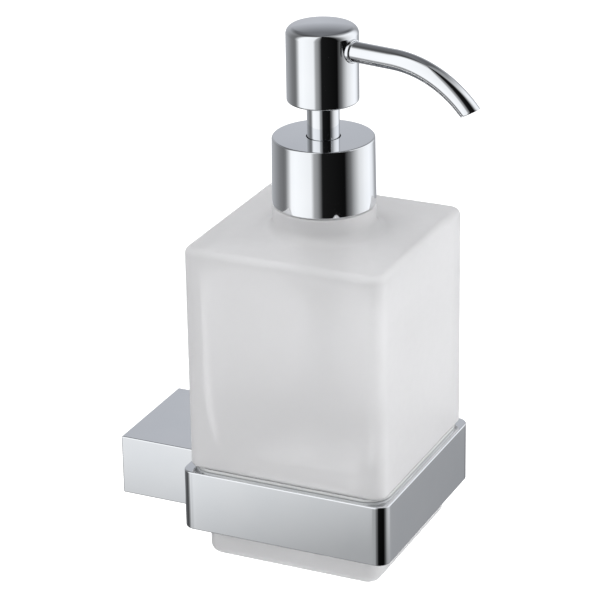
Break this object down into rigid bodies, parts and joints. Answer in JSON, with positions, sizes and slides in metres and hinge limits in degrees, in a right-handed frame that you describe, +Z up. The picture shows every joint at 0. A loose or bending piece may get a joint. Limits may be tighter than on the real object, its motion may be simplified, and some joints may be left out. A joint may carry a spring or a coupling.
{
  "type": "wall mounted soap dispenser",
  "caption": "Wall mounted soap dispenser: a square frosted glass bottle with a chromed press pump and curved spout, standing in a square chromed ring on a wall block.",
  "frame": {"origin": "middle of the face that meets the wall, at the height of the middle of the ring", "axes": "+Z up; +Y into the wall, so the dispenser stands out towards -Y; +X to the right of someone facing the wall"},
  "size_m": [0.075, 0.1265, 0.1834],
  "materials": {
    "chrome": "polished chrome plating",
    "zinc_plate": "plain zinc plated",
    "steel": "stainless steel",
    "frosted_glass": "satin etched glass",
    "white_plastic": "moulded white plastic",
    "clear_plastic": "translucent tube",
    "soft_plastic": "soft translucent plastic"
  },
  "bodies": {
    "holder": {"wall_plate": "zinc_plate", "wall_block": "chrome", "grub_screw": "steel", "holder_ring": "chrome", "ring_screw_left": "steel", "ring_screw_right": "steel", "ring_liner": "soft_plastic"},
    "bottle": {"bottle": "frosted_glass"},
    "pump": {"pump_housing": "white_plastic", "neck_gasket": "soft_plastic", "guide_bush": "white_plastic", "dip_tube": "clear_plastic", "return_spring": "steel"},
    "collar": {"collar": "chrome", "collar_insert": "white_plastic"},
    "inlet_valve": {"inlet_ball": "steel"},
    "plunger": {"piston": "soft_plastic", "piston_rod": "white_plastic"},
    "outlet_valve": {"outlet_ball": "steel"},
    "head": {"head": "chrome", "head_base": "chrome", "head_insert": "white_plastic", "stem_sleeve": "chrome", "spout": "chrome", "spout_ferrule": "chrome", "spout_liner": "clear_plastic"}
  },
  "joints": [
    {"name": "bottle_lift", "type": "slide", "parent": "holder", "child": "bottle", "axis": [0, 0, 1], "range_m": [0, 0.06]},
    {"name": "pump_lift", "type": "slide", "parent": "bottle", "child": "pump", "axis": [0, 0, 1], "range_m": [0, 0.13]},
    {"name": "collar_turn", "type": "hinge", "parent": "pump", "child": "collar", "pos_m": [0, -0.0683, 0.11], "axis": [0, 0, 1], "range_deg": [0, 450]},
    {"name": "inlet_ball_lift", "type": "slide", "parent": "pump", "child": "inlet_valve", "axis": [0, 0, 1], "range_m": [0, 0.0015]},
    {"name": "pump_press", "type": "slide", "parent": "pump", "child": "plunger", "axis": [0, 0, -1], "range_m": [0, 0.012], "stiffness_N_per_m": 400, "springref_m": -0.006, "deforming": ["return_spring"]},
    {"name": "outlet_ball_lift", "type": "slide", "parent": "plunger", "child": "outlet_valve", "axis": [0, 0, 1], "range_m": [0, 0.0012]},
    {"name": "head_swivel", "type": "hinge", "parent": "plunger", "child": "head", "pos_m": [0, -0.0683, 0.14], "axis": [0, 0, 1], "continuous": true}
  ]
}
